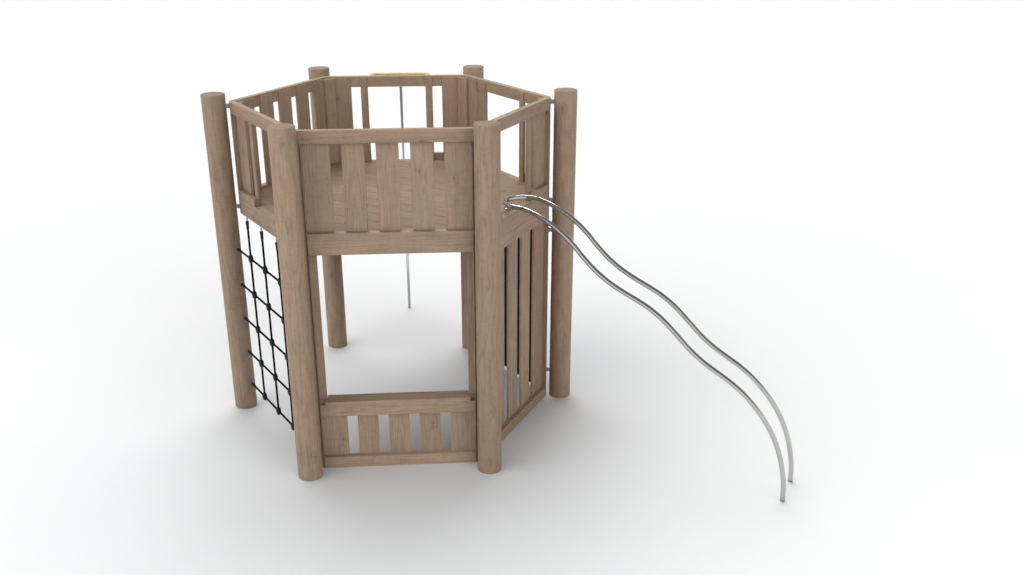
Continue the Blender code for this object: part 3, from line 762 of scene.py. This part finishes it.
def make_posts():
    for corner, turn in CORNER_TURNS.items():
        shape = bmesh.new()
        place = Matrix.Translation((POST_CIRCLE_R, 0, POST_H / 2))
        bmesh.ops.create_cone(shape, cap_ends=True, segments=POST_SIDES, radius1=POST_D / 2,
                              radius2=POST_D / 2, depth=POST_H, matrix=place)
        timber = Timber()
        timber.add(soften(shape, POST_ARRIS), "xyz",
                   (RANDOM.uniform(-POST_PITH_OFF, POST_PITH_OFF),
                    RANDOM.uniform(-POST_PITH_OFF, POST_PITH_OFF)))
        show(f"round_post_{corner}", timber.mesh("round_post", turn), POST_WOOD,
             [f"post_{corner}"])


def make_corner_posts():
    for corner in CORNER_TURNS:
        timber = Timber()
        timber.add(soften(solid_shape(f"corner_post_{corner}")))
        show(f"frame_corner_{corner}", timber.mesh("frame_corner"), POST_WOOD,
             [f"corner_post_{corner}"])


def make_sides():
    board_top = RAIL_TOP - BOARD_TOP_DROP
    for side, turn in SIDE_TURNS.items():
        closed = side in CLOSED_SIDES
        beam_top = BEAM_TOP + SILL_H if closed else BEAM_TOP
        timber = Timber()
        timber.add(raised(rail_outline(), RAIL_FOOT, RAIL_TOP), "zyx")
        timber.add(side_plank(-SIDE_EDGE, SIDE_EDGE, 0.0, BOARD_BACK, BEAM_FOOT, beam_top),
                   "zyx")
        for left, right in board_spans() if closed else gate_spans():
            timber.add(side_plank(left, right, BOARD_INSET, BOARD_T,
                                  beam_top + SEAT_GAP, board_top))
        if not closed:
            half = GATE_W / 2
            for left, right in ((-SIDE_EDGE, -half), (half, SIDE_EDGE)):
                timber.add(side_plank(left, right, 0.0, BOARD_INSET - SEAT_GAP,
                                      BEAM_TOP + SEAT_GAP, BEAM_TOP + KICK_H), "zyx")
        node = f"parapet_{side}" if closed else f"gate_side_{side}"
        show(f"side_{side}", timber.mesh("side", turn), BOARD_WOOD, [node])


def wall(foot, top, head_h, turn, name, node):
    """A slatted wall: foot rail, head rail and five boards let into their backs."""
    timber = Timber()
    timber.add(side_plank(-SIDE_EDGE, SIDE_EDGE, 0.0, RAIL_T, foot, foot + FOOT_RAIL_H), "zyx")
    timber.add(side_plank(-SIDE_EDGE, SIDE_EDGE, 0.0, RAIL_T, top - head_h, top), "zyx")
    for left, right in board_spans():
        timber.add(side_plank(left, right, BOARD_INSET, BOARD_T, foot + BOARD_TOP_DROP,
                              top - BOARD_TOP_DROP))
    show(name, timber.mesh(name, turn), BOARD_WOOD, [node])


def make_shelf():
    edge = LEG_EDGE - SEAT_GAP
    right = []
    for x, inset in ((SIDE_EDGE - SHELF_NOTCH_W, 0.0), (SIDE_EDGE - SHELF_NOTCH_W, BOARD_INSET),
                     (SIDE_EDGE, BOARD_INSET), (SIDE_EDGE, BOARD_BACK),
                     (edge, BOARD_BACK), (edge, SHELF_DEPTH)):
        right.append((x, inset - APOTHEM))
    outline = right + [(-x, y) for x, y in reversed(right)]
    timber = Timber()
    timber.add(raised(outline, SHELF_LOW.z, SHELF_HIGH.z), "yzx")
    show("shelf_board", timber.mesh("shelf_board"), BOARD_WOOD, ["shelf_front"])


def trimmed(shape, outline):
    """Trim a plank to a convex outline, closing every cut."""
    for (x0, y0), (x1, y1) in zip(outline, outline[1:] + outline[:1]):
        normal = Vector((y1 - y0, x0 - x1, 0.0)).normalized()
        cut = bmesh.ops.bisect_plane(
            shape, geom=shape.verts[:] + shape.edges[:] + shape.faces[:],
            plane_co=(x0, y0, 0.0), plane_no=normal, clear_outer=True)
        loose = [item for item in cut["geom_cut"] if isinstance(item, bmesh.types.BMEdge)]
        if loose:
            bmesh.ops.edgeloop_fill(shape, edges=loose)
    bmesh.ops.recalc_face_normals(shape, faces=shape.faces)
    return shape


def deck_outline():
    edge = LEG_EDGE - SEAT_GAP
    outline = []
    for turn in SIDE_TURNS.values():
        line = [(along, BOARD_BACK + SEAT_GAP - APOTHEM) for along in (-edge, edge)]
        outline += turned(line, turn)
    return outline


def make_deck():
    """Deck planks towards the slide on joists, two screws where one crosses the other."""
    across = Vector(polar(1.0, PLANK_TURN + 90))
    outline = turned(deck_outline(), -PLANK_TURN)
    timber, screws = Timber(), Gather()
    pitch = PLANK_W + PLANK_GAP
    count = int(APOTHEM / pitch / COS30 + 0.5)
    reach = APOTHEM / COS30
    joists = [(number - (JOIST_COUNT - 1) / 2) * JOIST_PITCH for number in range(JOIST_COUNT)]
    edge = APOTHEM - BOARD_BACK - DECK_SCREW_EDGE
    for number in range(-count, count + 1):
        middle = number * pitch
        shape = box_shape((-reach, middle - PLANK_W / 2, DECK_TOP - DECK_T),
                          (reach, middle + PLANK_W / 2, DECK_TOP))
        trimmed(shape, outline)
        if not shape.faces:
            continue
        timber.add(soften(shape, PLANK_ARRIS), "yzx", turn=PLANK_TURN)
        for x in joists:
            for row in (middle - PLANK_W / 3, middle + PLANK_W / 3):
                y = (row - x * across.x) / across.y
                if abs(y) < edge and abs(x) * COS30 + abs(y) / 2 < edge:
                    screws.add(dome((x, y, DECK_TOP - SCREW_SEAT), (0, 0, 1), SCREW_D,
                                    DECK_SCREW_RISE))
    outline = deck_outline()
    for x in joists:
        shape = box_shape((x - JOIST_W / 2, -reach, DECK_LOW.z),
                          (x + JOIST_W / 2, reach, DECK_TOP - DECK_T - SEAT_GAP))
        timber.add(soften(trimmed(shape, outline)), "zxy")
    show("deck_planks", timber.mesh("deck_planks"), DECK_WOOD, ["deck"])
    show("deck_screws", screws.mesh("deck_screws"), GREY_STEEL)


def make_board_screws():
    """Screws that hold the boards to the backs of the rails, two at each crossing."""
    screws = Gather()
    y = BOARD_BACK - APOTHEM - SCREW_SEAT
    rows = {side: [RAIL_SCREW_Z] for side in SIDE_TURNS}
    rows["front"] += [FOOT_SCREW_Z, LOW_WALL_TOP - BOARD_TOP_DROP - LOW_WALL_SCREW_DROP]
    rows["right_front"] += [FOOT_SCREW_Z, BEAM_FOOT - BOARD_TOP_DROP - TALL_WALL_SCREW_DROP]
    for side, turn in SIDE_TURNS.items():
        for z in rows[side]:
            upper = z > BEAM_TOP
            closed = side in CLOSED_SIDES or not upper
            for left, right in board_spans() if closed else gate_spans():
                inner = min(abs(left), abs(right))
                outer = min(max(abs(left), abs(right)), LEG_EDGE)
                way = 1 if left + right > 0 else -1
                if left < 0 < right:
                    inner, outer = left, right
                quarter = (outer - inner) / 4
                for x in (inner + quarter, outer - quarter):
                    screws.add(dome((way * x, y, z), (0, 1, 0), SCREW_D, BOARD_SCREW_RISE), turn)
    show("board_screws", screws.mesh("board_screws"), GREY_STEEL)


def make_panel():
    timber = Gather()
    timber.add(side_plank(-SIDE_EDGE, SIDE_EDGE, PANEL_INSET, PANEL_T, PANEL_LOW.z, PANEL_HIGH.z))
    show("black_sheet", timber.mesh("black_sheet", SIDE_TURNS["right_back"]), BLACK_PANEL,
         ["panel_right_back"])


# Steel and rope work

def make_spacers():
    """Tubes between the corner posts and the round posts, with a collar at each end."""
    start = ROUND_CENTRE_R + CORNER_ROUND_R
    length = POST_CIRCLE_R - POST_D / 2 - start
    first = SPACER_SUNK + SPACER_COLLAR_T
    last = SPACER_SUNK + length - SPACER_COLLAR_T
    profile = [(0, SPACER_D), (first, SPACER_D), (first + SPACER_CHAMFER, SPACER_NECK_D),
               (last - SPACER_CHAMFER, SPACER_NECK_D), (last, SPACER_D),
               (2 * SPACER_SUNK + length, SPACER_D)]
    for corner, turn in CORNER_TURNS.items():
        count = 2 if corner in SHORT_CORNERS else 4
        for number, z in enumerate(SPACER_HEIGHTS[:count], start=1):
            tube = lathe((start - SPACER_SUNK, 0, z), (1, 0, 0), profile, sides=32)
            work = Gather()
            work.add(tube)
            show(f"distance_tube_{corner}_{number}", work.mesh("distance_tube", turn),
                 GREY_STEEL, [f"spacer_{corner}_{number}"])


def knot_profile(length, waist, belly):
    """A moulded joint: a swelling between two short necks."""
    end = waist * JOINT_END
    profile = []
    for step in range(JOINT_STEPS + 1):
        along = -1 + 2 * step / JOINT_STEPS
        swell = math.cos(math.pi / 2 * abs(along) ** 1.5)
        profile.append((along * length / 2, waist + (belly - waist) * swell))
    return [(profile[0][0], end), *profile, (profile[-1][0], end)]


def make_net():
    """Rope net with moulded joints, end sleeves and steel eye bolts."""
    plane = -(APOTHEM + NET_STANDOFF)
    post_x, post_y = polar(POST_CIRCLE_R, -60)
    post_face = post_x - math.sqrt((POST_D / 2) ** 2 - (plane - post_y) ** 2)
    sleeve_x = post_face - SLEEVE_TO_POST
    top_row = BEAM_FOOT - NET_TOP_ROW_DROP
    rows = [top_row - number * NET_ROW_PITCH for number in range(NET_ROWS)]
    columns = (-NET_UPRIGHT_PITCH, 0.0, NET_UPRIGHT_PITCH)
    sleeve_z = NET_EYE_Z - TOP_SLEEVE_BELOW_EYE
    ropes, joints, steel = Gather(), Gather(), Gather()
    for z in rows:
        ropes.add(rope((-sleeve_x, plane, z), (sleeve_x, plane, z)))
        for way in (-1, 1):
            across = (way, 0, 0)
            joints.add(lathe((way * sleeve_x, plane, z), across, POST_SLEEVE))
            steel.add(lathe((way * (sleeve_x + SHANK_START), plane, z), across, POST_SHANK,
                            sides=12))
            steel.add(lathe((way * (post_face + POST_WASHER_START), plane, z), across,
                            POST_WASHER, sides=20))
    for x in columns:
        ropes.add(rope((x, plane, rows[-1] - NET_TAIL), (x, plane, sleeve_z)))
        joints.add(lathe((x, plane, sleeve_z), (0, 0, 1), TOP_SLEEVE))
        ring = []
        for step in range(EYE_RING_STEPS + 1):
            along, up = polar(EYE_RING_R, 360 * step / EYE_RING_STEPS + 90)
            ring.append((x + along, plane, NET_EYE_Z - EYE_RING_DROP + up))
        steel.add(swept(ring, circle(EYE_WIRE_D, 10)))
        steel.add(lathe((x, plane, sleeve_z + SHANK_START), (0, 0, 1), TOP_SHANK, sides=12))
        steel.add(lathe((x, plane + EYE_BOLT_START, NET_EYE_Z + EYE_BOLT_RISE), (0, 1, 0),
                        EYE_BOLT, sides=16))
        for z in rows:
            joints.add(lathe((x, plane, z), (0, 0, 1), knot_profile(*UPRIGHT_JOINT)))
            joints.add(lathe((x, plane, z), (1, 0, 0), knot_profile(*ACROSS_JOINT)))
    turn = SIDE_TURNS["left_front"]
    show("net_ropes", ropes.mesh("net_ropes", turn), BLACK_ROPE,
         ["climbing_net"])
    show("net_joints", joints.mesh("net_joints", turn), BLACK_JOINT)
    show("net_eyes", steel.mesh("net_eyes", turn), GREY_STEEL)


def slide_line():
    """Middle line of the tube: up one bar, round the bend, and down the other."""
    bend_y = -(APOTHEM + SLIDE_BEND_OUT)
    bend_z = BEAM_TOP + SLIDE_BEND_RISE
    run = [(SLIDE_HALF_GAUGE, -(APOTHEM + out), z) for out, z in reversed(SLIDE_PROFILE)]
    right = smooth_line(run + [(SLIDE_HALF_GAUGE, bend_y, bend_z)], 5)
    bend = []
    for step in range(1, SLIDE_BEND_STEPS):
        x, y = polar(SLIDE_HALF_GAUGE, 180 * step / SLIDE_BEND_STEPS)
        bend.append(Vector((x, bend_y + y, bend_z)))
    left = [Vector((-p.x, p.y, p.z)) for p in reversed(right)]
    line = right + bend + left
    return [p for p in line if p.z > -SLIDE_TUBE_D]


def make_slide():
    """The bent slide tube on its peg, cut level with the ground."""
    work = Gather()
    tube = swept(slide_line(), circle(SLIDE_TUBE_D - TUBE_EASE, 32))
    for vert in tube.verts:
        vert.co.z = max(vert.co.z, 0.0)
    bmesh.ops.remove_doubles(tube, verts=tube.verts, dist=CUT_MERGE_DISTANCE)
    work.add(tube)
    peg_y = SLIDE_HALF_GAUGE - APOTHEM - SLIDE_BEND_OUT
    rise = BEAM_TOP + SLIDE_BEND_RISE - DECK_TOP - SLIDE_TUBE_D / 2
    peg = [*PEG_FOOT, *((rise + height, diameter) for height, diameter in PEG_HEAD)]
    work.add(lathe((0, peg_y, DECK_TOP + SEAT_GAP), (0, 0, 1), peg, sides=32))
    for turn in (45, 135, 225, 315):
        x, y = polar(PEG_SCREW_RING_R, turn)
        work.add(dome((x, peg_y + y, DECK_TOP + PEG_SCREW_Z), (0, 0, 1), PEG_SCREW_D,
                      PEG_SCREW_RISE))
    show("slide_tube", work.mesh("slide_tube", SIDE_TURNS["right_front"]), STAINLESS,
         ["slide_bars"])


def hoop_line():
    """Middle line of the hoop, from one flange round to the other."""
    fall = -HOOP_FALL / POLE_OUT
    half = HOOP_W / 2
    flat = [(half, HOOP_PLATE_T)]
    flat += [(half, (POLE_OUT - HOOP_CORNER_R) * step / 8) for step in range(1, 8)]
    for step in range(HOOP_CORNER_STEPS + 1):
        x, out = polar(HOOP_CORNER_R, 90 * step / HOOP_CORNER_STEPS)
        flat.append((half - HOOP_CORNER_R + x, POLE_OUT - HOOP_CORNER_R + out))
    flat.append((0.0, POLE_OUT))
    right = [(x, -(APOTHEM + out), HOOP_RAIL_Z + fall * out) for x, out in flat]
    return right + [(-x, y, z) for x, y, z in reversed(right[:-1])]


def make_fire_pole():
    hoop, pole = Gather(), Gather()
    hoop.add(swept(hoop_line(), circle(HOOP_D, 28)))
    wall_y = -APOTHEM - SEAT_GAP
    for x in (-HOOP_W / 2, HOOP_W / 2):
        hoop.add(lathe((x, wall_y, HOOP_RAIL_Z), (0, -1, 0), HOOP_FLANGE, sides=36))
        for turn in (0, 90, 180, 270):
            across, up = polar(FLANGE_SCREW_RING_R, turn)
            spot = (x + across, wall_y - FLANGE_SCREW_OUT, HOOP_RAIL_Z + up)
            hoop.add(dome(spot, (0, -1, 0), FLANGE_SCREW_D, FLANGE_SCREW_RISE))
    far = -(APOTHEM + POLE_OUT)
    far_z = HOOP_RAIL_Z - HOOP_FALL
    depth = far_z - POLE_SOCKET_FOOT
    socket = [(0, 0.030), (0.012, 0.034), (0.016, POLE_SOCKET_D),
              (depth - POLE_SOCKET_LIP, POLE_SOCKET_D), (depth, POLE_SOCKET_D - 0.002),
              (depth, 0.028)]
    hoop.add(lathe((0, far, far_z), (0, 0, -1), socket, sides=32))
    pole.add(lathe((0, far, 0), (0, 0, 1), [(0, POLE_D), (POLE_HIGH.z, POLE_D)], sides=32))
    turn = SIDE_TURNS["back"]
    show("yellow_hoop", hoop.mesh("yellow_hoop", turn), YELLOW, ["pole_hoop"])
    show("steel_pole", pole.mesh("steel_pole", turn), POLE_STEEL, ["fire_pole"])


# Stage

CAMERA_FROM_AXIS = Vector((0.32636, -7.23670, 3.83197))
CAMERA_YAW = 0.0759
CAMERA_PITCH = 0.3778
CAMERA_ROLL = 0.0018
FOCAL_PIXELS = 992.44
PHOTO_WIDTH = 1024
SENSOR = 36.0
SKY_LIGHT = 0.03             # the even light of the studio on the scene
OVERHEAD = 0.21              # how bright the studio looks straight above
OVERHEAD_RANGE = (0.29, 0.60)            # sines of the heights where it darkens
FLOOR_PAINTED_SHADE = (0.728, 0.740, 0.750)       # the floor to the eye close to the tower, darker there as painted shade
FLOOR_FAR = (0.840, 0.845, 0.850)
FLOOR_BOUNCE = (0.70, 0.71, 0.72)        # the floor as it lights the tower
FLOOR_SHADE_FADE = (1.0, 3.8)                  # distances over which the floor's painted shade fades to FLOOR_FAR
FLOOR_SHADE_FORWARD = 0.5                      # the middle of the painted shade on the floor, in front of the tower
FLOOR_REACH = 60.0
FLOOR_DROP = 0.0005
FLOOR_ROUGHNESS = 0.9
SUNS = (                     # bearing from behind the tower, clockwise; height; strength
    (0, 60, 1.94), (270, 60, 0.72), (270, 25, 0.58), (225, 25, 0.98), (145, 25, 1.34),
    (340, 25, 0.37),
)
SUN_SPREAD = 50              # degrees across
GLINT = (0, 60, 2.40)        # a light that shows only as a reflection
GLINT_SPREAD = 42


def make_camera():
    data = bpy.data.cameras.new("camera")
    data.sensor_width = SENSOR
    data.lens = SENSOR * FOCAL_PIXELS / PHOTO_WIDTH
    item = bpy.data.objects.new("camera", data)
    turn = (Matrix.Rotation(-CAMERA_YAW, 4, "Z")
            @ Matrix.Rotation(math.pi / 2 - CAMERA_PITCH, 4, "X")
            @ Matrix.Rotation(CAMERA_ROLL, 4, "Z"))
    spot = Vector((AXIS.x, AXIS.y, 0.0)) + CAMERA_FROM_AXIS
    item.matrix_world = Matrix.Translation(spot) @ turn
    bpy.context.scene.collection.objects.link(item)
    bpy.context.scene.camera = item


def seen_directly(tree):
    """1 for what the eye sees straight, mirrored or through glass, and 0 for bounced light."""
    path = tree.nodes.new("ShaderNodeLightPath")
    seen = maths(tree, "MAXIMUM", path.outputs["Is Camera Ray"], path.outputs["Is Glossy Ray"])
    return maths(tree, "MAXIMUM", seen, path.outputs["Is Transmission Ray"])


def make_world():
    """White round the horizon and darker overhead to the eye and in reflections.

    The light that it casts on the scene is set apart from that, by SKY_LIGHT.
    """
    world = bpy.data.worlds.new("studio")
    world.use_nodes = True
    tree = world.node_tree
    back = tree.nodes["Background"]
    back.inputs["Color"].default_value = (1, 1, 1, 1)
    seen = seen_directly(tree)
    split = tree.nodes.new("ShaderNodeSeparateXYZ")
    tree.links.new(tree.nodes.new("ShaderNodeTexCoord").outputs["Generated"], split.inputs[0])
    shown = spread(tree, split.outputs["Z"], *OVERHEAD_RANGE, 1.0, OVERHEAD)
    shown = maths(tree, "MULTIPLY", seen, maths(tree, "SUBTRACT", shown, SKY_LIGHT))
    level = maths(tree, "ADD", shown, SKY_LIGHT)
    tree.links.new(level, back.inputs["Strength"])
    bpy.context.scene.world = world


def sun(name, bearing, height, strength, angle):
    """Light from far away; the larger its angle, the softer the shadows."""
    data = bpy.data.lights.new(name, "SUN")
    data.angle = math.radians(angle)
    data.energy = strength
    item = bpy.data.objects.new(name, data)
    x, y = polar(math.cos(math.radians(height)), 90 - bearing)
    source = Vector((x, y, math.sin(math.radians(height))))
    item.rotation_euler = (-source).to_track_quat("-Z", "Y").to_euler()
    bpy.context.scene.collection.objects.link(item)
    return item


def make_suns():
    """Broad soft lights, the strongest from behind and above, and one glint on the steel."""
    for bearing, height, strength in SUNS:
        soft = sun("soft_sun", bearing, height, strength, SUN_SPREAD)
        soft.visible_glossy = False
    glint = sun("glint", *GLINT, GLINT_SPREAD)
    glint.visible_diffuse = False


def make_floor():
    mesh = bpy.data.meshes.new("studio_floor")
    shape = bmesh.new()
    bmesh.ops.create_grid(shape, x_segments=1, y_segments=1, size=FLOOR_REACH)
    shape.to_mesh(mesh)
    shape.free()
    item = bpy.data.objects.new("studio_floor", mesh)
    item.location = (AXIS.x, AXIS.y - FLOOR_SHADE_FORWARD, CAD_BOX[0][2] - FLOOR_DROP)
    bpy.context.scene.collection.objects.link(item)
    material, tree, shader = new_material("pale_floor", FLOOR_ROUGHNESS)
    place = tree.nodes.new("ShaderNodeTexCoord").outputs["Object"]
    reach = tree.nodes.new("ShaderNodeVectorMath")
    reach.operation = "LENGTH"
    tree.links.new(place, reach.inputs[0])
    # The floor to the eye has painted shade: darker close to the tower and its front, paler
    # further out.
    colour = mixed(tree, spread(tree, reach.outputs["Value"], *FLOOR_SHADE_FADE), FLOOR_PAINTED_SHADE,
                   FLOOR_FAR)
    tree.links.new(mixed(tree, seen_directly(tree), FLOOR_BOUNCE, colour),
                   shader.inputs["Base Color"])
    shader.inputs["Specular IOR Level"].default_value = 0.0
    mesh.materials.append(material)


def make_stage():
    make_camera()
    make_world()
    make_floor()
    make_suns()
    bpy.context.scene.view_settings.view_transform = "Standard"


make_posts()
make_corner_posts()
make_sides()
wall(0.0, LOW_WALL_TOP, RAIL_H, 0, "low_wall_front", "low_parapet_front")
wall(0.0, BEAM_FOOT - SEAT_GAP, WALL_HEAD_H, SIDE_TURNS["right_front"],
     "tall_wall_right_front", "low_wall_right_front")
make_shelf()
make_deck()
make_board_screws()
make_panel()
make_spacers()
make_net()
make_slide()
make_fire_pole()
make_stage()
